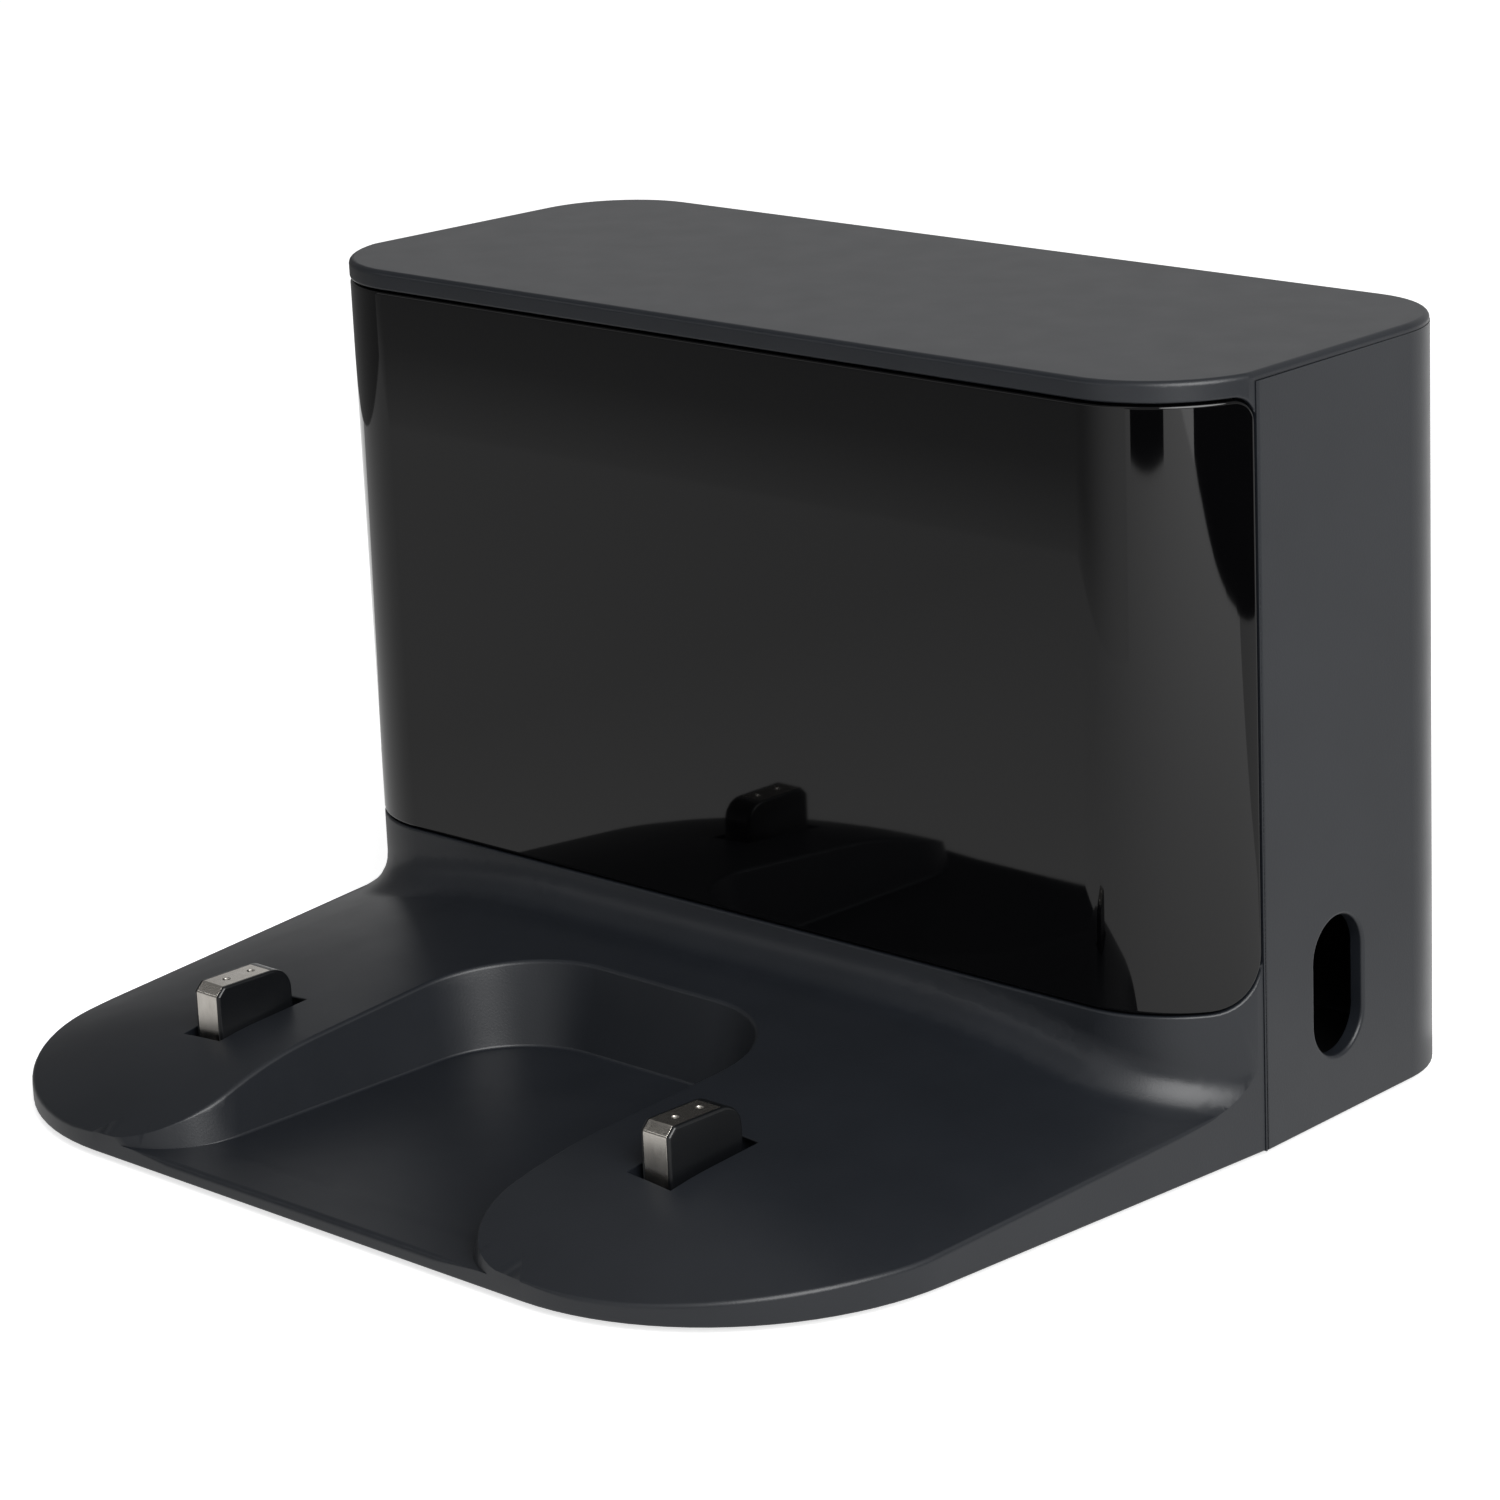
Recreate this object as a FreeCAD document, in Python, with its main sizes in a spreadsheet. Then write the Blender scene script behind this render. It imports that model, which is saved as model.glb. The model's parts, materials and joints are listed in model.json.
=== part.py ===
import FreeCAD, Part
import math
import os
import Sketcher
from FreeCAD import Rotation, Vector

# Charging dock of a robot vacuum, in millimetres. It stands on its feet at z = 0, faces -Y and has its
# middle plane at x = 0. A low deck with two sprung contacts lies in front of a tower whose front is a
# dark infrared window. A rear cover pulls off backwards and bares the cable bay.

# Driving sizes. Ratios and angles are named as such.
SIZES = {
    # whole dock
    "width": 151.0,
    "depth": 132.0,
    "height": 96.25,
    "lift": 1.0,
    # plan of the housing
    "seam_depth": 44.2,
    "tower_depth": 57.64,
    "rear_inset": 1.88,
    "front_inset": 4.24,
    "rear_corner": 14.0,
    "base_corner": 34.5,
    "tower_corner": 16.2,
    "seam_inset": 0.24,
    "corner_blend": 0.05,
    "run_out": 6.0,
    # walls and clearances
    "wall": 2.0,
    "cover_wall": 2.0,
    "seam_gap": 0.05,
    "fit_gap": 0.3,
    "glue_gap": 0.1,
    # deck, which rises backwards and rolls down to its front and side edges
    "deck_height": 11.3,
    "deck_rise_ratio": 0.075,
    "front_roll": 68.0,
    "front_roll_depth": 26.0,
    "side_roll": 150.0,
    "side_roll_width": 47.5,
    "cove": 5.5,
    # top sheet
    "top_sheet": 2.6,
    "top_edge": 1.0,
    "top_round": 0.75,
    # recess between the contacts, open to the front
    "recess_floor": 3.0,
    "recess_half": 23.5,
    "recess_length": 58.0,
    "recess_corner": 13.0,
    "recess_flare": 12.0,
    "recess_flare_out": 26.0,
    "recess_flare_ahead": 0.3,
    "recess_draft_angle": 15.0,
    # infrared window
    "window_thick": 2.0,
    "window_gap": 0.25,
    "window_low": 19.84,
    "window_side": 0.1,
    "window_low_corner": 6.5,
    "window_high_corner": 3.0,
    # contacts
    "contact_x": 39.8,
    "contact_setback": 26.65,
    "slot_width": 7.0,
    "slot_length": 14.5,
    "block_width": 4.8,
    "block_length": 12.0,
    "block_top": 16.4,
    "block_bevel": 1.1,
    "block_edge_round": 0.5,
    "block_rear_round": 3.0,
    "flange_thick": 1.2,
    "flange_lip": 1.5,
    "contact_travel": 2.8,
    "strip_thick": 0.4,
    "strip_width": 3.8,
    "strip_low": 8.6,
    "dimple_radius": 0.6,
    "dimple_depth": 0.3,
    "dimple_first": 3.4,
    "dimple_second": 7.4,
    "guide_wall": 1.2,
    "guide_tall": 4.0,
    "spring_wire": 0.5,
    "spring_radius": 1.2,
    "spring_pitch": 1.7,
    "spring_bore": 1.8,
    "spring_bore_top": 13.0,
    "spigot_radius": 0.8,
    "spigot_height": 1.2,
    # base plate, feet and ballast
    "plate_thick": 1.4,
    "foot_radius": 6.0,
    "foot_sink": 0.6,
    "foot_front_inset": 25.5,
    "foot_front_setback": 26.0,
    "foot_rear_inset": 19.5,
    "foot_rear_setback": 18.0,
    "ballast_width": 92.0,
    "ballast_depth": 12.0,
    "ballast_height": 5.0,
    # screws and their bosses
    "boss_radius": 3.6,
    "screw_radius": 1.2,
    "screw_head_radius": 2.4,
    "screw_head_height": 0.9,
    "screw_length": 5.0,
    "deck_boss_inset": 17.5,
    "deck_boss_setback": 46.0,
    "tray_boss_inset": 9.0,
    "small_screw_radius": 0.9,
    "small_head_radius": 1.7,
    "small_head_height": 1.1,
    # cable tray behind the electronics
    "tray_depth": 34.5,
    "tray_wall": 2.0,
    "tray_lap": 6.0,
    "post_inset": 41.5,
    "post_z": 54.0,
    "post_radius": 10.0,
    "post_length": 18.0,
    "post_flange_radius": 15.0,
    "post_flange_thick": 2.0,
    # cable outlets in the rear cover
    "outlet_back": 29.05,
    "outlet_height": 17.7,
    "outlet_width": 10.0,
    "outlet_length": 17.7,
    "outlet_flat": 0.02,
    # power board
    "board_thick": 1.6,
    "board_width": 104.0,
    "board_low": 10.0,
    "board_tall": 42.0,
    "board_stand": 0.8,
    "board_screw_inset": 4.0,
    "core_width": 20.0,
    "core_tall": 17.0,
    "core_deep": 8.0,
    "core_leg": 4.0,
    "core_x": 8.0,
    "coil_gap": 0.3,
    "coil_wrap": 2.0,
    "capacitor_radius": 5.0,
    "capacitor_length": 11.0,
    "capacitor_x": 30.0,
    "output_capacitor_radius": 4.0,
    "output_capacitor_x": 18.0,
    "sink_width": 24.0,
    "sink_tall": 16.0,
    "sink_thick": 1.5,
    "sink_deep": 10.0,
    "sink_x": 38.0,
    "choke_radius": 5.5,
    "choke_wire": 2.2,
    "choke_x": 39.5,
    "inlet_width": 18.0,
    "inlet_tall": 12.0,
    "inlet_deep": 9.0,
    "inlet_wall": 1.5,
    "inlet_z": 18.0,
    "inlet_pin_radius": 1.2,
    "inlet_pin_spacing": 8.6,
    # infrared board
    "emitter_board_width": 70.0,
    "emitter_board_tall": 20.0,
    "emitter_board_z": 60.0,
    "emitter_stand": 4.0,
    "emitter_radius": 2.5,
    "emitter_spacing": 18.0,
    "emitter_nose": 0.5,
    "aperture_width": 62.0,
    "aperture_tall": 12.0,
    "baffle_wall": 1.2,
    # leads from the power board to the contacts
    "lead_radius": 0.9,
    "lead_bend": 4.0,
    "lead_inset": 1.0,
}

doc = FreeCAD.newDocument("charging_dock")
sheet = doc.addObject("Spreadsheet::Sheet", "dims")
for row, (alias, number) in enumerate(SIZES.items(), 1):
    sheet.set(f"A{row}", alias)
    sheet.set(f"B{row}", str(number))
    sheet.setAlias(f"B{row}", alias)
doc.recompute()


class Size:
    """A length together with the sheet expression that gives it."""

    def __init__(self, text, value):
        self.text = text
        self.value = value

    def join(self, mark, other, value):
        return Size(f"({self.text} {mark} {other.text})", value)

    def __add__(self, other):
        other = size_of(other)
        return self.join("+", other, self.value + other.value)

    def __sub__(self, other):
        other = size_of(other)
        return self.join("-", other, self.value - other.value)

    def __mul__(self, other):
        other = size_of(other)
        return self.join("*", other, self.value * other.value)

    def __truediv__(self, other):
        other = size_of(other)
        return self.join("/", other, self.value / other.value)

    def __radd__(self, other):
        return size_of(other) + self

    def __rsub__(self, other):
        return size_of(other) - self

    def __rmul__(self, other):
        return size_of(other) * self

    def __neg__(self):
        return Size(f"(0 - {self.text})", -self.value)


def size_of(item):
    """Turns a plain number into a Size."""
    if isinstance(item, Size):
        return item
    return Size(f"({item})", float(item))


class Sheet:
    """Gives each sheet cell as a Size, by its alias."""

    def __getattr__(self, alias):
        return Size(f"dims.{alias}", float(sheet.get(alias)))


d = Sheet()
parts = {}

# Sketch references: the origin point and the two sketch axes.
ORIGIN = (-1, 1)
ACROSS_AXIS = -1
UP_AXIS = -2


def bind(item, prop, size):
    item.setExpression(prop, size_of(size).text)


def keep(name, item):
    """Names a finished sub-part."""
    item.Label = name
    parts[name] = item
    return item


def new_body(name):
    body = doc.addObject("PartDesign::Body", name)
    body.Label = name
    return body


def new_sketch(body, name, role, offset=0, up=0):
    """A sketch on one of the body's own origin planes, moved along the plane's normal and up."""
    sketch = body.newObject("Sketcher::SketchObject", name)
    planes = {plane.Role: plane for plane in body.Origin.OriginFeatures}
    sketch.AttachmentSupport = [(planes[role], "")]
    sketch.MapMode = "FlatFace"
    bind(sketch, "AttachmentOffset.Base.z", offset)
    bind(sketch, "AttachmentOffset.Base.y", up)
    return sketch


def dimension(sketch, kind, size, *where):
    index = sketch.addConstraint(Sketcher.Constraint(kind, *where, size.value))
    sketch.setExpression(f"Constraints[{index}]", size.text)


def link(sketch, kind, *where):
    sketch.addConstraint(Sketcher.Constraint(kind, *where))


def pin(sketch, geo, pos, across=None, up=None):
    """Holds a sketch point at its distances from the origin."""
    for kind, size, axis in (("DistanceX", across, UP_AXIS), ("DistanceY", up, ACROSS_AXIS)):
        if size is None:
            continue
        size = size_of(size)
        if size.value == 0:
            link(sketch, "PointOnObject", geo, pos, axis)
        elif size.value > 0:
            dimension(sketch, kind, size, *ORIGIN, geo, pos)
        else:
            dimension(sketch, kind, -size, geo, pos, *ORIGIN)


def circle_arc(centre, radius, first, last):
    """The arc that runs counter-clockwise from one point to another."""
    circle = Part.Circle(centre, Vector(0, 0, 1), radius)
    angles = [math.atan2(point.y - centre.y, point.x - centre.x) for point in (first, last)]
    return Part.ArcOfCircle(circle, *angles)


def corner_arc(before, here, after, radius):
    """Rounds a corner: the arc, where it starts and ends, and whether it turns left."""
    back = (before - here).normalize()
    ahead = (after - here).normalize()
    half = back.getAngle(ahead) / 2
    start = here + back * (radius / math.tan(half))
    end = here + ahead * (radius / math.tan(half))
    centre = here + (back + ahead).normalize() * (radius / math.sin(half))
    turns_left = (here - start).cross(end - here).z > 0
    first, last = (start, end) if turns_left else (end, start)
    return circle_arc(centre, radius, first, last), start, end, turns_left


def outline(sketch, corners):
    """Draws a closed outline through (across, up) corners, rounded where a radius follows."""
    count = len(corners)
    spots = [Vector(size_of(c[0]).value, size_of(c[1]).value, 0) for c in corners]
    arcs = []
    for i, corner in enumerate(corners):
        if len(corner) == 2:
            arcs.append((None, spots[i], spots[i], True))
        else:
            after = spots[(i + 1) % count]
            arcs.append(corner_arc(spots[i - 1], spots[i], after, size_of(corner[2]).value))
    lines = []
    for i in range(count):
        start = arcs[i][2]
        end = arcs[(i + 1) % count][1]
        lines.append(sketch.addGeometry(Part.LineSegment(start, end)))
    for i, corner in enumerate(corners):
        before = lines[i - 1]
        after = lines[i]
        shape, _, _, turns_left = arcs[i]
        if shape is None:
            link(sketch, "Coincident", before, 2, after, 1)
            pin(sketch, after, 1, corner[0], corner[1])
            continue
        arc = sketch.addGeometry(shape)
        first, last = (1, 2) if turns_left else (2, 1)
        link(sketch, "Tangent", before, 2, arc, first)
        link(sketch, "Tangent", arc, last, after, 1)
        dimension(sketch, "Radius", size_of(corner[2]), arc)
        point = sketch.addGeometry(Part.Point(spots[i]), True)
        link(sketch, "PointOnObject", point, 1, before)
        link(sketch, "PointOnObject", point, 1, after)
        pin(sketch, point, 1, corner[0], corner[1])


def extrude(body, name, sketch, length, feature="PartDesign::Pad"):
    item = body.newObject(feature, name)
    item.Profile = sketch
    bind(item, "Length", length)
    return item


def prism(name, corners, low, high, role="XY_Plane"):
    """A body padded from one outline, between two places along the plane's normal."""
    body = new_body(name)
    sketch = new_sketch(body, name + "_plan", role, low)
    outline(sketch, corners)
    extrude(body, name + "_pad", sketch, size_of(high) - low)
    return body


def box(name, x, y, z):
    """A block between pairs of places along X, Y and Z."""
    item = doc.addObject("Part::Box", name)
    spans = (("x", "Length", x), ("y", "Width", y), ("z", "Height", z))
    for axis, side, (low, high) in spans:
        bind(item, side, size_of(high) - low)
        bind(item, f"Placement.Base.{axis}", low)
    return item


def about(centre, half):
    """A pair of places on both sides of a centre."""
    return size_of(centre) - half, size_of(centre) + half


def rod(name, place, radius, length, along=Vector(0, 0, 1)):
    """A round bar that starts at a place and runs along a direction."""
    item = doc.addObject("Part::Cylinder", name)
    bind(item, "Radius", radius)
    bind(item, "Height", length)
    item.Placement.Rotation = Rotation(Vector(0, 0, 1), along)
    for axis, size in zip("xyz", place):
        bind(item, f"Placement.Base.{axis}", size)
    return item


def ball(name, place, radius):
    item = doc.addObject("Part::Sphere", name)
    bind(item, "Radius", radius)
    for axis, size in zip("xyz", place):
        bind(item, f"Placement.Base.{axis}", size)
    return item


def join(name, pieces):
    if len(pieces) == 1:
        return pieces[0]
    item = doc.addObject("Part::MultiFuse", name)
    item.Shapes = pieces
    return item


def cut(name, base, tools):
    item = doc.addObject("Part::Cut", name)
    item.Base = base
    item.Tool = join(name + "_tools", tools)
    return item


def common(name, pieces):
    item = doc.addObject("Part::MultiCommon", name)
    item.Shapes = pieces
    return item


def group(name, pieces):
    """Several separate solids in one sub-part."""
    item = doc.addObject("Part::Compound", name)
    item.Links = pieces
    return keep(name, item)


# Places that several sub-parts share.
BACKWARD = Vector(0, 1, 0)
FORWARD = Vector(0, -1, 0)
SIDES = (("left", -1), ("right", 1))
half_width = d.width / 2
front = -d.depth / 2
rear = d.depth / 2
rear_half = half_width - d.rear_inset
front_half = half_width - d.front_inset
seam_y = rear - d.seam_depth
tower_front = rear - d.tower_depth
side_lean = d.front_inset / (d.depth - d.seam_depth)
tower_half = half_width - side_lean * (d.tower_depth - d.seam_depth)
rear_end = rear + d.run_out
front_end = front - d.run_out
roll_y = front + d.front_roll_depth
deck_end = d.deck_height + d.deck_rise_ratio * (rear_end - roll_y)
flat_half = half_width - d.side_roll_width
deck_edge = half_width + d.run_out
recess_rear = front + d.recess_length
plate_top = d.lift + d.plate_thick
contact_y = front + d.contact_setback
flange_low = plate_top + d.fit_gap + d.contact_travel
flange_top = flange_low + d.flange_thick
contact_seat = flange_top + d.fit_gap
frame_back = tower_front + d.window_thick + d.glue_gap + d.wall
tower_ceiling = d.height - d.top_sheet
window_high = tower_ceiling - d.window_gap
tray_back = rear - d.tray_depth
tray_front = tray_back - d.tray_wall
board_back = tray_front - d.board_stand
board_front = board_back - d.board_thick
emitter_board_front = frame_back + d.emitter_stand
tray_boss_x = half_width - d.tray_boss_inset
tray_boss_y = tray_front - d.boss_radius / 2
deck_boss_x = half_width - d.deck_boss_inset
deck_boss_y = front + d.deck_boss_setback
post_x = half_width - d.post_inset
lead_x = d.board_width / 2 - d.lead_inset


def tower_plan(inset, radius, back, blend=0):
    """Plan of the tower: front corners rounded, sides that lean, open back line."""
    lean_half = half_width + side_lean * (back - seam_y) - inset + blend
    front_corner = tower_half - inset + blend
    place = tower_front + inset
    return [
        (-front_corner, place, radius),
        (front_corner, place, radius),
        (lean_half, back),
        (-lean_half, back),
    ]


def dock_plan(inset, cover_inset):
    """Plan of the whole dock, set in by a wall in front of the seam and by another behind it."""
    return [
        (-(front_half - inset), front + inset, d.base_corner - inset),
        (front_half - inset, front + inset, d.base_corner - inset),
        (half_width - d.seam_inset - inset, seam_y),
        (rear_half - cover_inset, rear - cover_inset, d.rear_corner - cover_inset),
        (-(rear_half - cover_inset), rear - cover_inset, d.rear_corner - cover_inset),
        (-(half_width - d.seam_inset - inset), seam_y),
    ]


def recess_plan(grow):
    """Plan of the recess: a round-cornered bay whose flares run out along the front edge."""
    side = d.recess_half + grow
    back = recess_rear + grow
    flare_y = front - d.recess_flare_ahead + grow
    flare = d.recess_flare - grow
    far_x = side + d.recess_flare_out
    far_y = flare_y - d.run_out
    return [
        (-far_x, far_y),
        (far_x, far_y),
        (far_x, flare_y),
        (side, flare_y, flare),
        (side, back, d.recess_corner + grow),
        (-side, back, d.recess_corner + grow),
        (-side, flare_y, flare),
        (-far_x, flare_y),
    ]


def recess_form(name, low, grow):
    """The space of the recess, widening upwards with its drafted walls."""
    body = new_body(name)
    sketch = new_sketch(body, name + "_plan", "XY_Plane", low)
    outline(sketch, recess_plan(grow))
    form = extrude(body, name + "_form", sketch, d.block_top)
    bind(form, "TaperAngle", d.recess_draft_angle)
    return body


def deck_spine(body):
    """Side view of the deck: a rising line that rolls down to the front."""
    spine = new_sketch(body, body.Name + "_spine", "YZ_Plane")
    turn = math.atan(d.deck_rise_ratio.value)
    radius = d.front_roll.value
    start = Vector(roll_y.value, d.deck_height.value, 0)
    end = Vector(rear_end.value, deck_end.value, 0)
    centre = start + Vector(math.sin(turn), -math.cos(turn), 0) * radius
    reach = front_end.value - centre.x
    tip = centre + Vector(reach, math.sqrt(radius ** 2 - reach ** 2), 0)
    line = spine.addGeometry(Part.LineSegment(start, end))
    arc = spine.addGeometry(circle_arc(centre, radius, start, tip))
    link(spine, "Tangent", line, 1, arc, 1)
    pin(spine, line, 1, roll_y, d.deck_height)
    pin(spine, line, 2, rear_end, deck_end)
    dimension(spine, "Radius", d.front_roll, arc)
    pin(spine, arc, 2, front_end)
    return spine


def deck_section(body, drop):
    """Cross-section of the deck: flat in the middle, rolling down to both sides."""
    section = new_sketch(body, body.Name + "_section", "XZ_Plane", -rear_end, deck_end - drop)
    radius = d.side_roll.value
    deep = d.height
    fall = math.sqrt(radius ** 2 - (deck_edge.value - flat_half.value) ** 2) - radius
    ends = [Vector(side * flat_half.value, 0, 0) for _, side in SIDES]
    brinks = [Vector(side * deck_edge.value, fall, 0) for _, side in SIDES]
    feet = [Vector(side * deck_edge.value, -deep.value, 0) for _, side in SIDES]
    below = Vector(0, radius, 0)
    top = section.addGeometry(Part.LineSegment(ends[0], ends[1]))
    left = section.addGeometry(circle_arc(ends[0] - below, radius, ends[0], brinks[0]))
    right = section.addGeometry(circle_arc(ends[1] - below, radius, brinks[1], ends[1]))
    fall_line = section.addGeometry(Part.LineSegment(brinks[1], feet[1]))
    base = section.addGeometry(Part.LineSegment(feet[1], feet[0]))
    rise_line = section.addGeometry(Part.LineSegment(feet[0], brinks[0]))
    link(section, "Tangent", top, 1, left, 1)
    link(section, "Tangent", top, 2, right, 2)
    link(section, "Coincident", right, 1, fall_line, 1)
    link(section, "Coincident", fall_line, 2, base, 1)
    link(section, "Coincident", base, 2, rise_line, 1)
    link(section, "Coincident", rise_line, 2, left, 2)
    pin(section, top, 1, -flat_half, 0)
    pin(section, top, 2, flat_half, 0)
    dimension(section, "Radius", d.side_roll, left)
    dimension(section, "Radius", d.side_roll, right)
    pin(section, fall_line, 1, deck_edge)
    pin(section, rise_line, 2, -deck_edge)
    pin(section, base, 1, deck_edge, -deep)
    pin(section, base, 2, -deck_edge, -deep)
    return section


def deck_pipe(body, drop):
    """The mass below the deck: the cross-section carried along the spine without turning."""
    spine = deck_spine(body)
    section = deck_section(body, drop)
    pipe = body.newObject("PartDesign::AdditivePipe", body.Name + "_deck")
    pipe.Profile = section
    pipe.Spine = (spine, ["Edge1", "Edge2"])
    pipe.Mode = "Fixed"
    return pipe


def middle(edge):
    return edge.valueAt((edge.FirstParameter + edge.LastParameter) / 2)


def fillet(body, name, base, picks, radius):
    """Rounds the edges of the last feature that a test picks out."""
    doc.recompute()
    names = [f"Edge{i}" for i, edge in enumerate(base.Shape.Edges, 1) if picks(edge)]
    item = body.newObject("PartDesign::Fillet", name)
    item.Base = (base, names)
    bind(item, "Radius", radius)
    return item


def meets_tower(edge):
    """Edges where the tower's walls rise from the deck."""
    bounds = edge.BoundBox
    low_enough = bounds.ZMin > 0 and bounds.ZMax < d.window_low.value + d.deck_height.value
    behind = bounds.YMin > tower_front.value - 0.1 and bounds.YMin < rear_end.value - 1
    lean_half = half_width + side_lean * (rear_end - seam_y) + d.corner_blend
    return low_enough and behind and abs(middle(edge).x) < lean_half.value + 0.1


def on_top(edge):
    return edge.BoundBox.ZMin > d.height.value - 0.01


def around(body, name, corners, low, length):
    """Cuts away everything outside an outline, downwards from a height."""
    sketch = new_sketch(body, name + "_plan", "XY_Plane", low)
    far = d.width
    outline(sketch, [(-far, -far), (far, -far), (far, far), (-far, far)])
    outline(sketch, corners)
    return extrude(body, name, sketch, length, "PartDesign::Pocket")


def trim(body, name, corners, low, length):
    """Cuts away everything inside an outline, downwards from a height."""
    sketch = new_sketch(body, name + "_plan", "XY_Plane", low)
    outline(sketch, corners)
    return extrude(body, name, sketch, length, "PartDesign::Pocket")


def rectangle(x0, x1, y0, y1):
    return [(x0, y0), (x1, y0), (x1, y1), (x0, y1)]


def housing_body():
    """Outside of the front housing: deck, tower and the sheet over the cable bay."""
    body = new_body("housing_outside")
    deck_pipe(body, 0)
    plan = new_sketch(body, "tower_plan", "XY_Plane", d.lift)
    outline(plan, tower_plan(0, d.tower_corner, rear_end, d.corner_blend))
    tower = extrude(body, "tower", plan, d.height - d.lift)
    fillet(body, "deck_cove", tower, meets_tower, d.cove)
    far = d.width
    deep = d.height * 2
    around(body, "side_trim", dock_plan(0, 0), d.height + d.run_out, deep + d.height)
    trim(body, "bottom_trim", rectangle(-far, far, -far, far), d.lift, deep)
    bay = rectangle(-far, far, seam_y, far)
    last = trim(body, "bay_trim", bay, d.height - d.top_edge, deep)
    fillet(body, "top_rounding", last, on_top, d.top_round)
    return body


def window_form(name, grow, reach, behind):
    """The window's shell: the tower's front and corners between two depths, cut to its side view."""
    outer = tower_plan(-reach, d.tower_corner + reach, seam_y + d.run_out)
    inner = tower_plan(d.window_thick + behind, d.tower_corner - d.window_thick - behind, seam_y + d.run_out)
    ring = outer[3:] + outer[:3] + [inner[2], inner[1], inner[0], inner[3]]
    shell = prism(name + "_shell", ring, d.lift, d.height)
    side = [
        (tower_front - d.run_out, d.window_low - grow),
        (seam_y - d.window_side + grow, d.window_low - grow, d.window_low_corner + grow),
        (seam_y - d.window_side + grow, window_high + grow, d.window_high_corner + grow),
        (tower_front - d.run_out, window_high + grow),
    ]
    view = prism(name + "_view", side, -d.width, d.width, "YZ_Plane")
    return common(name, [shell, view])


def make_ir_window():
    keep("ir_window", window_form("window", 0, 0, 0))


def contact_boss_tools():
    """Blocks under the deck that give each contact a flat seat."""
    tools = []
    for side, sign in SIDES:
        reach_x = d.slot_width / 2 + d.flange_lip + d.guide_wall + d.fit_gap
        reach_y = d.slot_length / 2 + d.flange_lip + d.guide_wall + d.fit_gap
        x = sign * d.contact_x
        height = (contact_seat, d.block_top)
        tools.append(box(f"{side}_seat", about(x, reach_x), about(contact_y, reach_y), height))
    return tools


def housing_bosses():
    """Posts that take the base screws and the infrared board's screws."""
    posts = []
    for side, sign in SIDES:
        place = (sign * deck_boss_x, deck_boss_y, plate_top)
        posts.append(rod(f"{side}_deck_boss", place, d.boss_radius, d.block_top))
        screw_x = sign * (d.emitter_board_width / 2 - d.small_head_radius)
        place = (screw_x, frame_back - d.wall / 2, d.emitter_board_z)
        length = d.emitter_stand + d.wall / 2
        posts.append(rod(f"{side}_board_boss", place, d.small_head_radius, length, BACKWARD))
    return posts


def screw_holes():
    holes = []
    for side, sign in SIDES:
        place = (sign * deck_boss_x, deck_boss_y, d.lift)
        holes.append(rod(f"{side}_deck_screw_hole", place, d.screw_radius, d.screw_length))
        screw_x = sign * (d.emitter_board_width / 2 - d.small_head_radius)
        place = (screw_x, frame_back, d.emitter_board_z)
        holes.append(rod(f"{side}_board_screw_hole", place, d.small_screw_radius, d.emitter_stand, BACKWARD))
    return holes


def make_front_housing():
    outside = housing_body()
    lobes = prism("inner_plan", dock_plan(d.wall, d.wall), d.lift - d.run_out, d.height)
    ceiling = new_body("inner_deck")
    deck_pipe(ceiling, d.wall)
    below_deck = common("below_deck", [lobes, ceiling])
    inset = frame_back - tower_front
    inner_tower = tower_plan(inset, d.tower_corner - inset, rear_end)
    in_tower = prism("in_tower", inner_tower, d.lift - d.run_out, tower_ceiling)
    plate_room = prism("plate_room", dock_plan(d.wall, d.wall), d.lift - d.run_out, plate_top + d.glue_gap)
    inside = join("inside", [below_deck, plate_room, in_tower])
    tub = recess_form("tub", d.lift - d.fit_gap, d.wall)
    bosses = housing_bosses()
    hollow = cut("hollow", inside, [tub] + contact_boss_tools() + bosses)
    recess = recess_form("recess", d.recess_floor, 0)
    slots = []
    for side, sign in SIDES:
        x = sign * d.contact_x
        along = about(contact_y, d.slot_length / 2)
        slots.append(box(f"{side}_slot", about(x, d.slot_width / 2), along, (plate_top, d.block_top)))
    rebate = window_form("window_rebate", d.window_gap, d.run_out, d.glue_gap)
    aperture = box("aperture", about(0, d.aperture_width / 2), (tower_front, frame_back + d.wall),
                   about(d.emitter_board_z, d.aperture_tall / 2))
    tools = [hollow, recess, rebate, aperture] + slots + screw_holes()
    keep("front_housing", cut("front_housing", outside, tools))


def make_rear_cover():
    """Side walls and back in one U-shaped moulding, with a cable outlet in each side."""
    start = seam_y + d.seam_gap
    top = d.height - d.top_edge - d.seam_gap
    inner = d.cover_wall
    walls = [
        (half_width, start),
        (rear_half, rear, d.rear_corner),
        (-rear_half, rear, d.rear_corner),
        (-half_width, start),
        (-half_width + inner, start),
        (-rear_half + inner, rear - inner, d.rear_corner - inner),
        (rear_half - inner, rear - inner, d.rear_corner - inner),
        (half_width - inner, start),
    ]
    ring = prism("cover_ring", walls, d.lift, top)
    rounded = prism("cover_front", tower_plan(0, d.tower_corner, rear_end), 0, d.height)
    shell = common("cover_shell", [ring, rounded])
    outlet_y = rear - d.outlet_back
    low = d.outlet_height - d.outlet_length / 2
    high = d.outlet_height + d.outlet_length / 2
    near = outlet_y - d.outlet_width / 2
    far = outlet_y + d.outlet_width / 2
    radius = (d.outlet_width - d.outlet_flat) / 2
    slot = [(near, low, radius), (far, low, radius), (far, high, radius), (near, high, radius)]
    outlet = prism("cable_outlets", slot, -d.width, d.width, "YZ_Plane")
    keep("rear_cover", cut("rear_cover", shell, [outlet]))


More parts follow.
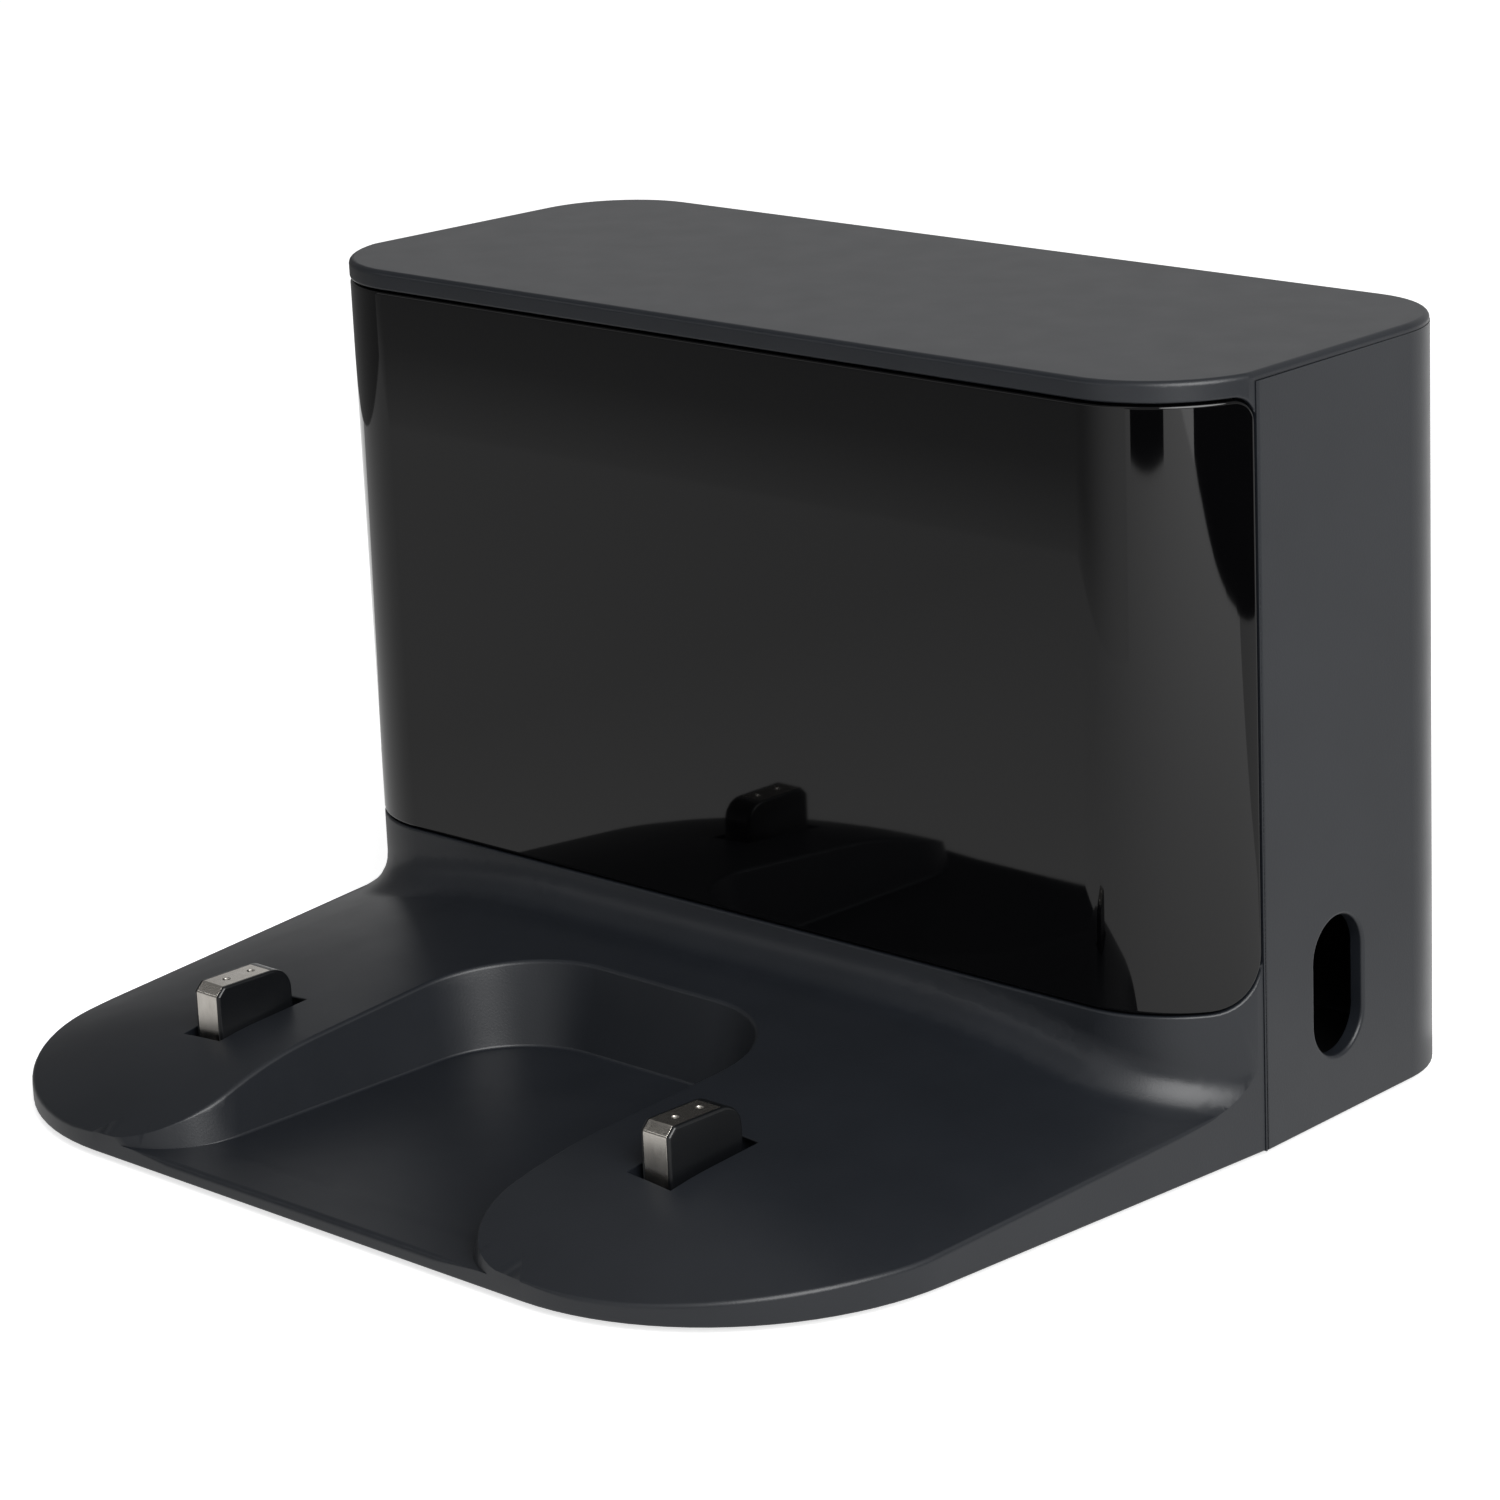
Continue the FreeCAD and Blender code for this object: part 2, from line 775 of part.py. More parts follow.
def foot_places():
    places = {}
    for side, sign in SIDES:
        places[f"front_{side}_foot"] = (sign * (half_width - d.foot_front_inset), front + d.foot_front_setback)
        places[f"rear_{side}_foot"] = (sign * (half_width - d.foot_rear_inset), rear - d.foot_rear_setback)
    return places


def base_screw_places():
    places = {}
    for side, sign in SIDES:
        places[f"{side}_deck"] = (sign * deck_boss_x, deck_boss_y)
        places[f"{side}_tray"] = (sign * tray_boss_x, tray_boss_y)
    return places


def make_base_plate():
    inset = d.wall + d.fit_gap
    cover_inset = d.cover_wall + d.fit_gap
    plate = prism("plate_blank", dock_plan(inset, cover_inset), d.lift, plate_top)
    tools = [recess_form("plate_notch", d.lift - d.fit_gap, d.wall + d.fit_gap)]
    for name, (x, y) in foot_places().items():
        tools.append(rod(name + "_seat", (x, y, 0), d.foot_radius + d.glue_gap, d.lift + d.foot_sink))
    for name, (x, y) in base_screw_places().items():
        tools.append(rod(name + "_hole", (x, y, 0), d.screw_radius + d.glue_gap, d.height / 2))
        head = d.screw_head_radius + d.glue_gap
        tools.append(rod(name + "_head_hole", (x, y, 0), head, d.lift + d.screw_head_height))
    spigots = []
    for side, sign in SIDES:
        place = (sign * d.contact_x, contact_y, plate_top - d.plate_thick / 2)
        spigots.append(rod(side + "_spigot", place, d.spigot_radius, d.spigot_height + d.plate_thick / 2))
    keep("base_plate", join("base_plate", [cut("plate_cut", plate, tools)] + spigots))


def make_feet():
    for name, (x, y) in foot_places().items():
        keep(name, rod(name, (x, y, 0), d.foot_radius, d.lift + d.foot_sink))


def make_base_screws():
    screws = []
    for name, (x, y) in base_screw_places().items():
        head = rod(name + "_screw_head", (x, y, d.lift), d.screw_head_radius, d.screw_head_height)
        shank = rod(name + "_screw_shank", (x, y, d.lift), d.screw_radius, d.screw_length)
        screws.append(join(name + "_screw", [head, shank]))
    group("base_screws", screws)


def make_ballast():
    low = frame_back + d.fit_gap
    along = (low, low + d.ballast_depth)
    height = (plate_top, plate_top + d.ballast_height)
    keep("ballast_plate", box("ballast_plate", about(0, d.ballast_width / 2), along, height))


def strip_path(y, z_top, inset):
    """The bent line of a contact's nickel strip, set in from the block's face: front, bevel and top."""
    near = y - d.block_length / 2 + inset
    top = z_top - inset
    bevel = d.block_bevel - inset / 2
    return [
        (near, d.strip_low),
        (near, top - bevel),
        (near + bevel, top),
        (y + d.block_length / 2 - d.block_rear_round, top),
    ]


def make_contact(side, sign):
    """A sprung contact: plastic block with a retaining flange, nickel strip, spring and guide."""
    x = sign * d.contact_x
    near = contact_y - d.block_length / 2
    far = contact_y + d.block_length / 2
    edge = d.block_edge_round
    body = [
        (near, flange_low),
        (far, flange_low),
        (far, d.block_top, d.block_rear_round),
        (near + d.block_bevel, d.block_top, edge),
        (near, d.block_top - d.block_bevel, edge),
    ]
    core = prism(side + "_block_core", body, *about(x, d.block_width / 2), "YZ_Plane")
    flange_x = d.slot_width / 2 + d.flange_lip
    flange_y = d.slot_length / 2 + d.flange_lip
    flange = box(side + "_flange", about(x, flange_x), about(contact_y, flange_y), (flange_low, flange_top))
    outer = strip_path(contact_y, d.block_top, 0)
    inner = strip_path(contact_y, d.block_top, d.strip_thick)
    rounds = [(), (edge,), (edge,), ()]
    path = [point + extra for point, extra in zip(outer, rounds)]
    path += [point for point in reversed(inner)]
    strip = prism(side + "_strip_blank", path, *about(x, d.strip_width / 2), "YZ_Plane")
    dimples = []
    for name, setback in (("first", d.dimple_first), ("second", d.dimple_second)):
        place = (x, near + setback, d.block_top + d.dimple_radius - d.dimple_depth)
        dimples.append(ball(f"{side}_{name}_dimple", place, d.dimple_radius))
    bore_length = d.spring_bore_top - flange_low
    bore = rod(side + "_spring_bore", (x, contact_y, flange_low), d.spring_bore, bore_length)
    solid = join(side + "_block_solid", [core, flange])
    keep(f"{side}_contact_block", cut(f"{side}_contact_block", solid, [bore, strip]))
    keep(f"{side}_contact_strip", cut(f"{side}_contact_strip", strip, dimples))

    room_x = flange_x + d.fit_gap
    room_y = flange_y + d.fit_gap
    outer_x = room_x + d.guide_wall
    outer_y = room_y + d.guide_wall
    height = (plate_top, plate_top + d.guide_tall)
    block = box(side + "_guide_blank", about(x, outer_x), about(contact_y, outer_y), height)
    room = box(side + "_guide_room", about(x, room_x), about(contact_y, room_y), (d.lift, d.block_top))
    keep(f"{side}_contact_guide", cut(f"{side}_contact_guide", block, [room]))
    make_spring(side, x)


def make_spring(side, x):
    """Compression spring between the base plate and the end of the block's bore."""
    coil = doc.addObject("Part::Helix", side + "_coil")
    low = plate_top + d.spring_wire / 2 + d.glue_gap
    high = d.spring_bore_top - d.spring_wire / 2 - d.glue_gap
    bind(coil, "Pitch", d.spring_pitch)
    bind(coil, "Height", high - low)
    bind(coil, "Radius", d.spring_radius)
    for axis, size in zip("xyz", (x, contact_y, low)):
        bind(coil, f"Placement.Base.{axis}", size)
    wire = doc.addObject("Part::Circle", side + "_wire")
    bind(wire, "Radius", d.spring_wire / 2)
    wire.Placement.Rotation = Rotation(Vector(0, 0, 1), BACKWARD)
    for axis, size in zip("xyz", (x + d.spring_radius, contact_y, low)):
        bind(wire, f"Placement.Base.{axis}", size)
    sweep = doc.addObject("Part::Sweep", f"{side}_contact_spring")
    sweep.Sections = [wire]
    sweep.Spine = coil
    sweep.Solid = True
    sweep.Frenet = True
    keep(f"{side}_contact_spring", sweep)


def tray_plan(inset, back):
    """Plan of the tray, which follows the inside of the tower's frame."""
    depth = frame_back - tower_front + inset
    return tower_plan(depth, d.tower_corner - depth, back)


def make_cable_tray():
    """Box that closes the electronics and carries two posts to wind the cable on."""
    top = tower_ceiling - d.fit_gap
    outer = prism("tray_blank", tray_plan(d.fit_gap, tray_back), plate_top, top)
    room_plan = tray_plan(d.fit_gap + d.tray_wall, tray_front)
    room = prism("tray_room", room_plan, plate_top - d.wall, top + d.wall)
    ahead = box("tray_ahead", (-d.width, d.width), (tower_front, seam_y - d.tray_lap), (0, d.height))
    solids = []
    for name, sign in SIDES:
        place = (sign * post_x, tray_back - d.tray_wall / 2, d.post_z)
        solids.append(rod(name + "_post", place, d.post_radius, d.post_length + d.tray_wall / 2, BACKWARD))
        place = (sign * post_x, tray_back + d.post_length - d.post_flange_thick, d.post_z)
        solids.append(rod(name + "_post_flange", place, d.post_flange_radius, d.post_flange_thick, BACKWARD))
        place = (sign * tray_boss_x, tray_boss_y, plate_top)
        solids.append(rod(name + "_tray_boss", place, d.boss_radius, d.screw_length + d.wall))
        for level, z in board_screw_levels():
            place = (sign * board_screw_x(), board_back, z)
            length = d.board_stand + d.glue_gap
            solids.append(rod(f"{name}_{level}_stand", place, d.small_head_radius, length, BACKWARD))
    walls = cut("tray_walls", outer, [room, ahead])
    holes = []
    for name, sign in SIDES:
        place = (sign * tray_boss_x, tray_boss_y, 0)
        holes.append(rod(name + "_tray_screw_hole", place, d.screw_radius, d.lift + d.screw_length))
        for level, z in board_screw_levels():
            place = (sign * board_screw_x(), board_back - d.board_thick, z)
            holes.append(rod(f"{name}_{level}_screw_hole", place, d.small_screw_radius,
                             d.board_thick + d.board_stand + d.tray_wall / 2, BACKWARD))
    wide = d.inlet_width / 2 + d.fit_gap
    tall = d.inlet_tall / 2 + d.fit_gap
    along = (board_back, tray_back + d.wall)
    holes.append(box("inlet_window", about(0, wide), along, about(d.inlet_z, tall)))
    keep("cable_tray", cut("cable_tray", join("tray_solid", [walls] + solids), holes))


def board_screw_x():
    return d.board_width / 2 - d.board_screw_inset


def board_screw_levels():
    low = d.board_low + d.board_screw_inset
    return (("low", low), ("high", d.board_low + d.board_tall - d.board_screw_inset))


def make_power_board():
    board = box("power_board_blank", about(0, d.board_width / 2), (board_front, board_back),
                (d.board_low, d.board_low + d.board_tall))
    holes = []
    screws = []
    for name, sign in SIDES:
        for level, z in board_screw_levels():
            x = sign * board_screw_x()
            label = f"{name}_{level}_board"
            holes.append(rod(label + "_hole", (x, board_front, z), d.small_screw_radius + d.glue_gap,
                             d.board_thick, BACKWARD))
            place = (x, board_front, z)
            length = d.board_thick + d.board_stand + d.tray_wall / 4
            head = rod(label + "_screw_head", place, d.small_head_radius, d.small_head_height, FORWARD)
            shank = rod(label + "_shank", place, d.small_screw_radius, length, BACKWARD)
            screws.append(join(label + "_screw", [head, shank]))
    keep("power_board", cut("power_board", board, holes))
    group("board_screws", screws)


def make_transformer():
    """Ferrite core of two side legs and a middle leg, with the winding round the middle one."""
    z = d.board_low + d.board_tall / 2
    low_x = d.core_x - d.core_width / 2
    high_x = d.core_x + d.core_width / 2
    back = board_front - d.coil_wrap
    ahead = back - d.core_deep
    blank = box("core_blank", (low_x, high_x), (ahead, back), about(z, d.core_tall / 2))
    windows = []
    room = (d.core_width - d.core_leg * 3) / 2
    for name, start in (("first", low_x + d.core_leg), ("second", high_x - d.core_leg - room)):
        windows.append(box(f"core_{name}_window", (start, start + room), (ahead - d.wall, back + d.wall),
                           about(z, d.core_tall / 2 - d.core_leg)))
    keep("transformer_core", cut("transformer_core", blank, windows))
    gap = d.coil_gap
    reach = d.core_leg / 2 + room - gap
    tall = d.core_tall / 2 - d.core_leg - gap
    winding = box("winding_blank", about(d.core_x, reach), (ahead - d.coil_wrap, board_front), about(z, tall))
    leg = d.core_leg / 2 + gap
    hole = box("winding_hole", about(d.core_x, leg), (ahead, back), about(z, d.core_tall))
    keep("transformer_winding", cut("transformer_winding", winding, [hole]))


def make_board_pieces():
    """Capacitors, heat sink and choke on the front of the power board."""
    z = d.board_low + d.board_tall / 2
    upper = z + d.board_tall / 4
    lower = z - d.board_tall / 4
    keep("input_capacitor", rod("input_capacitor", (-d.capacitor_x, board_front, upper), d.capacitor_radius,
                                d.capacitor_length, FORWARD))
    group("output_capacitors", [
        rod("output_capacitor_low", (-d.output_capacitor_x, board_front, lower), d.output_capacitor_radius,
            d.capacitor_length, FORWARD),
        rod("output_capacitor_high", (-d.output_capacitor_x, board_front, upper), d.output_capacitor_radius,
            d.capacitor_length, FORWARD),
    ])
    across = about(d.sink_x, d.sink_width / 2)
    fin_front = board_front - d.sink_deep
    plate = box("sink_plate", across, (fin_front, board_front), (lower, lower + d.sink_thick))
    fin = box("sink_fin", across, (fin_front, fin_front + d.sink_thick), (lower, lower + d.sink_tall))
    keep("heat_sink", join("heat_sink", [plate, fin]))
    ring = doc.addObject("Part::Torus", "input_choke")
    bind(ring, "Radius1", d.choke_radius)
    bind(ring, "Radius2", d.choke_wire)
    ring.Placement.Rotation = Rotation(Vector(0, 0, 1), BACKWARD)
    for axis, size in zip("xyz", (-d.choke_x, board_front - d.choke_wire - d.glue_gap, lower)):
        bind(ring, f"Placement.Base.{axis}", size)
    keep("input_choke", ring)


def make_inlet():
    """Two-pin mains socket that faces the cable bay."""
    wide = d.inlet_width / 2
    tall = d.inlet_tall / 2
    end = board_back + d.inlet_deep
    blank = box("inlet_blank", about(0, wide), (board_back, end), about(d.inlet_z, tall))
    well = box("inlet_well", about(0, wide - d.inlet_wall), (board_back + d.inlet_wall, end + d.wall),
               about(d.inlet_z, tall - d.inlet_wall))
    pins = []
    holes = []
    for name, sign in SIDES:
        place = (sign * d.inlet_pin_spacing / 2, board_back, d.inlet_z)
        length = d.inlet_deep - d.inlet_wall
        pins.append(rod(name + "_inlet_pin", place, d.inlet_pin_radius, length, BACKWARD))
        holes.append(rod(name + "_inlet_pin_hole", place, d.inlet_pin_radius, d.inlet_deep, BACKWARD))
    keep("power_inlet", cut("power_inlet", blank, [well] + holes))
    group("inlet_pins", pins)


def make_infrared_board():
    """Emitter board behind the window, its emitters, the baffle between them and its two screws."""
    z = d.emitter_board_z
    half = d.emitter_board_width / 2
    tall = d.emitter_board_tall / 2
    place_y = emitter_board_front
    back = place_y + d.board_thick
    board = box("emitter_board_blank", about(0, half), (place_y, back), about(z, tall))
    holes = []
    screws = []
    for name, sign in SIDES:
        x = sign * (half - d.small_head_radius)
        holes.append(rod(name + "_emitter_hole", (x, place_y, z), d.small_screw_radius + d.glue_gap,
                         d.board_thick, BACKWARD))
        place = (x, back, z)
        length = d.board_thick + d.emitter_stand - d.glue_gap
        head = rod(name + "_emitter_screw_head", place, d.small_head_radius, d.small_head_height, BACKWARD)
        shank = rod(name + "_emitter_shank", place, d.small_screw_radius, length, FORWARD)
        screws.append(join(name + "_emitter_screw", [head, shank]))
    keep("emitter_board", cut("emitter_board", board, holes))
    group("emitter_board_screws", screws)
    lamps = []
    wells = []
    lamp_length = d.emitter_stand + d.wall - d.emitter_nose - d.emitter_radius
    for index in (-1, 0, 1):
        x = index * d.emitter_spacing
        stem = rod(f"emitter_stem_{index + 1}", (x, place_y, z), d.emitter_radius, lamp_length, FORWARD)
        nose = ball(f"emitter_nose_{index + 1}", (x, place_y - lamp_length, z), d.emitter_radius)
        lamps.append(join(f"emitter_{index + 1}", [stem, nose]))
        reach = d.emitter_spacing / 2 - d.baffle_wall / 2
        high = d.aperture_tall / 2 - d.fit_gap - d.baffle_wall
        along = (tower_front, place_y + d.wall)
        wells.append(box(f"baffle_well_{index + 1}", about(x, reach), along, about(z, high)))
    group("ir_emitters", lamps)
    wide = d.aperture_width / 2 - d.fit_gap
    high = d.aperture_tall / 2 - d.fit_gap
    frame_front = frame_back - d.wall
    blank = box("baffle_blank", about(0, wide), (frame_front, place_y), about(z, high))
    keep("light_baffle", cut("light_baffle", blank, wells))


def make_lead(side, sign):
    """Insulated lead from the power board down to the base and forward to a contact guide."""
    x = sign * lead_x.value
    low = plate_top.value + d.lead_radius.value
    drop_y = board_front.value - d.lead_radius.value
    guide_back = contact_y + d.slot_length / 2 + d.flange_lip + d.fit_gap + d.guide_wall
    bend = d.lead_bend.value
    start = Vector(x, drop_y, d.board_low.value + bend)
    corner = Vector(x, drop_y, low)
    end = Vector(sign * d.contact_x.value, guide_back.value + d.fit_gap.value, low)
    along = (end - corner).normalize()
    first = corner + Vector(0, 0, bend)
    last = corner + along * bend
    centre = first + along * bend
    half_way = centre + (corner - centre).normalize() * bend
    path = Part.Wire([
        Part.LineSegment(start, first).toShape(),
        Part.Arc(first, half_way, last).toShape(),
        Part.LineSegment(last, end).toShape(),
    ])
    section = Part.Wire([Part.Circle(start, Vector(0, 0, 1), d.lead_radius.value).toShape()])
    lead = doc.addObject("Part::Feature", f"{side}_contact_lead")
    lead.Shape = path.makePipeShell([section], True, False)
    keep(f"{side}_contact_lead", lead)


make_front_housing()
make_ir_window()
make_rear_cover()
make_base_plate()
make_feet()
make_base_screws()
make_ballast()
make_cable_tray()
make_power_board()
make_transformer()
make_board_pieces()
make_inlet()
make_infrared_board()
for side, sign in SIDES:
    make_contact(side, sign)
    make_lead(side, sign)
doc.recompute()

for item in doc.Objects:
    if "Invalid" in item.State or "Error" in item.State:
        raise RuntimeError(f"{item.Label} could not be built: {item.State}")
for name, item in parts.items():
    if item.Shape.isNull() or not item.Shape.isValid():
        raise RuntimeError(f"{name} has no valid shape")

os.makedirs("parts", exist_ok=True)
for name, item in parts.items():
    item.Shape.exportStep(f"parts/{name}.step")
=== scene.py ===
import json
import math

import bmesh
import bpy
from mathutils import Matrix, Vector
from mathutils.bvhtree import BVHTree

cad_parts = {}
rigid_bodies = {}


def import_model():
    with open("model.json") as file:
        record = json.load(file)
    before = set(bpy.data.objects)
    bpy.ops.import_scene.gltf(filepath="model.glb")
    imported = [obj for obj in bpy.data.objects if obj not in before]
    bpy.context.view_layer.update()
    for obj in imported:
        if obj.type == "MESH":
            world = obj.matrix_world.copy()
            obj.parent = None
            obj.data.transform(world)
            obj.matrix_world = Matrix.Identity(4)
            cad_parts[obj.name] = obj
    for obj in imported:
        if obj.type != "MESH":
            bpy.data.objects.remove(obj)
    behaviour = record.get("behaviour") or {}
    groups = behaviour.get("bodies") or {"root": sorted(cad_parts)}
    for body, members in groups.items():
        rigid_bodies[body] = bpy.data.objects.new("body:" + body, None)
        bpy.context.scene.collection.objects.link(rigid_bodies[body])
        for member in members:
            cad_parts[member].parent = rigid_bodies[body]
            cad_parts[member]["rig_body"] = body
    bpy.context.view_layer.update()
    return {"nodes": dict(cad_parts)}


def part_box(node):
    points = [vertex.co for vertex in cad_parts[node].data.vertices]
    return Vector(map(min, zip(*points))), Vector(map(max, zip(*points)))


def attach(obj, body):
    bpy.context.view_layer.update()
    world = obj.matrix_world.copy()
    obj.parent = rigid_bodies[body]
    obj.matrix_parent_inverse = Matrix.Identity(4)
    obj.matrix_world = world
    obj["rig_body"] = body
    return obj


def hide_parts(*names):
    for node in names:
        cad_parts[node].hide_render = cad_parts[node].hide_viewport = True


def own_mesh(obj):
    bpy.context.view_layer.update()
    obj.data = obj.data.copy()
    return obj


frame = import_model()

NODES = frame["nodes"]
MM = 0.001

# Camera, as fitted to the photograph: angles in degrees, lengths in metres, lens in millimetres.
CAMERA_AZIMUTH = 44.71
CAMERA_ELEVATION = 16.48
CAMERA_ROLL = -2.53
CAMERA_DISTANCE = 0.6283
CAMERA_TARGET = Vector((-0.0018, 0.0150, 0.0393))
CAMERA_LENS = 118.6

# Light levels, where 1 is white, and the floor in metres.
WORLD_LEVEL = 0.35
FLOOR_LIFT = 0.68
FLOOR_COLOUR = (0.9, 0.9, 0.9, 1.0)
FLOOR_ROUGHNESS = 0.9
FLOOR_SIZE = 12.0
WHITE = (1, 1, 1, 1)
BLACK = (0, 0, 0, 1)

# Key light: angles in degrees, as the photograph's highlights tell, lengths in metres, power in watts.
KEY_AZIMUTH = 69.0
KEY_ELEVATION = 39.0
KEY_DISTANCE = 0.9
KEY_SIZE = 0.75
KEY_POWER = 10.0

# Studio cards, which only mirrored rays see. Two tall flags stand at the left and the front, two low ones at
# the right, a pale card behind, and two shades lie on the floor. Places are in metres, greys have 1 as white.
LEFT_HEIGHT = 0.7
FRONT_HEIGHT = 0.6
REAR_HEIGHT = 0.6
LOW_HEIGHT = 0.06
FLAG_X = -0.40
FLAG_FAR_Y = 0.24
FLAG_NEAR_Y = -0.75
FRONT_Y = -0.215
FRONT_LEFT = -0.60
FRONT_RIGHT = 0.09
NEAR_FLAG = ((0.131, -0.353), (0.296, -0.280))
RIGHT_FLAG = ((0.404, -0.153), (0.290, 0.150))
REAR_CARD = ((-1.5, 0.9), (0.3, 0.9))
FRONT_SHADE = ((-0.60, -0.60), (0.40, 0.07))
SIDE_SHADE = ((0.08, 0.07), (0.60, 0.80))
SHADE_Z = 0.0003
DARK = 0.02
DIM = 0.15
SOFT = 0.07
BRIGHT_STRIP = 1.5
REAR_GREY = 0.56
SIDE_GREY = 0.72

# Greys of a card as pairs: the share of the way from its foot to its head, and the grey there.
FRONT_GREYS = (
    (0, 0.45), (0.028, 0.25), (0.15, SOFT), (0.28, SOFT),
    (0.3, BRIGHT_STRIP), (0.36, BRIGHT_STRIP), (0.38, SOFT), (1, SOFT),
)
SHADE_GREYS = ((0, 0.47), (0.46, 0.5), (0.57, 0.65), (0.7, 0.95), (1, 1.6))

# Share of the front flag's length where its right end begins to fade, and the grey that it fades to.
FRONT_FADE = (0.72, 0.85)

# Patterns in the materials: the part of a noise that the colours spread over, the drift of a moulding's
# roughness, and the length of one wave of the wave texture at scale 1.
COLOUR_SPREAD = (0.3, 0.7)
GLOSS_DRIFT = 0.03
WAVE_LENGTH = math.pi / 10

# What counts as one point, as flat, as a gentle bend and as a sharp edge.
WELD = 0.002 * MM
FLAT_ANGLE = math.radians(0.05)
GENTLE_ANGLE = math.radians(4)
SHARP_ANGLE = math.radians(25)

# Edge roundings. A deck rim that flattens out loses its rounding bit by bit between two angles, and beside
# the recess it takes up at most a share of the wall's height.
ROUNDING_STEPS = 4
WIDEST = 0.8 * MM
DECK_RIM = 0.5 * MM
RIM_ENDS = math.radians(12)
RIM_FULL = math.radians(70)
RIM_SHARE = 0.25
RECESS_FLOOR = 0.35 * MM
LIP_RIM = 0.8 * MM
LIP_PIECES = 60
SLOT_RIM = 0.15 * MM
BOTTOM_RIM = 0.3 * MM
FRAME_RIM = 0.35 * MM
OUTLET_RIM = 0.5 * MM
WINDOW_RIM = 0.4 * MM
BLOCK_RIM = 0.35 * MM
STRIP_RIM = 0.05 * MM
STRIP_BEND = 0.7 * MM
FOOT_RIM = 0.4 * MM
INNER_RIM = 0.25 * MM

# Where roundings fade out: how far from their end they are still nothing, and the length of the fade.
LIP_FADE = (2.5 * MM, 7 * MM)
FLOOR_FADE = (6 * MM, 7 * MM)
RIM_FADE = (3.5 * MM, 8 * MM)
FOOT_FADE = (7 * MM, 5 * MM)

# How a rule tells which edges it is for: distances, heights and lengths, the outlets' share of the cover's
# height, the angle of a strip's bends, and how far up a face's normal points.
SEAM_CLEAR = 0.3 * MM
FRAME_BELOW = 2 * MM
FRAME_REACH = 0.6 * MM
SLOT_REACH = 2 * MM
UNDERSIDE = 0.01 * MM
OUTLET_MARGIN = 5 * MM
OUTLET_TOP = 0.5
OUTER_DEPTH = 1.5 * MM
STRIP_CLEAR = 0.1 * MM
BEND_LENGTH = 1 * MM
BEND_ANGLE = math.radians(60)
DECK_TOP = 25 * MM
BLOCK_FOOT = 8 * MM
TRAY_FOOT = 3.5 * MM
FACES_UP = 0.1
STANDS = -0.2

# Sizes of the part: the recess floor's height, and what the frame tells.
RECESS_Z = 3.0 * MM
SEAM_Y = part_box("rear_cover")[0].y
WINDOW_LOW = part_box("ir_window")[0].z
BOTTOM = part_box("rear_cover")[0].z
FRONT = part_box("front_housing")[0].y


class Shader:
    """A material whose finish is built from nodes around one Principled shader."""

    def __init__(self, name, roughness, metallic=0.0, ior=1.5, coat=0.0):
        self.material = bpy.data.materials.new(name)
        self.material.use_nodes = True
        self.tree = self.material.node_tree
        self.shader = self.tree.nodes["Principled BSDF"]
        self.set("Roughness", roughness)
        self.set("Metallic", metallic)
        self.set("IOR", ior)
        self.set("Coat Weight", coat)
        self.place = self.tree.nodes.new("ShaderNodeTexCoord").outputs["Object"]

    def set(self, socket, value):
        self.shader.inputs[socket].default_value = value

    def node(self, kind, **settings):
        """A new node, with its properties or else its sockets set."""
        made = self.tree.nodes.new(kind)
        for key, value in settings.items():
            if hasattr(made, key):
                setattr(made, key, value)
            else:
                made.inputs[key.replace("_", " ").title()].default_value = value
        return made

    def link(self, source, target):
        self.tree.links.new(source, target)

    def drive(self, source, socket):
        """Leads a node's output into the shader itself."""
        self.link(source, self.shader.inputs[socket])

    def stretched(self, scale):
        """Object coordinates, scaled differently along each axis."""
        mapping = self.node("ShaderNodeMapping")
        mapping.inputs["Scale"].default_value = scale
        self.link(self.place, mapping.inputs["Vector"])
        return mapping.outputs["Vector"]

    def noise(self, size, detail=2.0, roughness=0.5, stretch=(1, 1, 1)):
        """Noise whose features are about this many metres across."""
        made = self.node("ShaderNodeTexNoise", scale=1 / size, detail=detail, roughness=roughness)
        self.link(self.stretched(stretch), made.inputs["Vector"])
        return made.outputs["Fac"]

    def lines(self, spacing, direction):
        """Parallel, slightly uneven lines this many metres apart, across one axis."""
        made = self.node("ShaderNodeTexWave", scale=WAVE_LENGTH / spacing, distortion=0.3)
        made.bands_direction = direction
        self.link(self.place, made.inputs["Vector"])
        return made.outputs["Fac"]

    def colours(self, factor, low, high):
        """Base colour that wanders between two colours."""
        ramp = self.node("ShaderNodeValToRGB")
        for stop, position, colour in zip(ramp.color_ramp.elements, COLOUR_SPREAD, (low, high)):
            stop.position = position
            stop.color = (*colour, 1)
        self.link(factor, ramp.inputs["Fac"])
        self.drive(ramp.outputs["Color"], "Base Color")

    def vary(self, socket, factor, low, high):
        """A socket that wanders between two values."""
        spread = self.node("ShaderNodeMapRange")
        spread.inputs["To Min"].default_value = low
        spread.inputs["To Max"].default_value = high
        self.link(factor, spread.inputs["Value"])
        self.drive(spread.outputs["Result"], socket)

    def bump(self, height, depth):
        """Relief of a given depth in metres."""
        bump = self.node("ShaderNodeBump", strength=1.0, distance=depth)
        self.link(height, bump.inputs["Height"])
        self.drive(bump.outputs["Normal"], "Normal")


def moulded_plastic(name, low, high, roughness, grain=0.25 * MM, depth=0.012 * MM):
    """Spark-textured moulding: fine grain, with slow drifts in colour and gloss."""
    shader = Shader(name, roughness)
    gloss = shader.noise(size=6 * MM)
    shader.colours(shader.noise(size=14 * MM, detail=3), low, high)
    shader.vary("Roughness", gloss, low=roughness - GLOSS_DRIFT, high=roughness + GLOSS_DRIFT)
    shader.bump(shader.noise(grain), depth)
    return shader.material


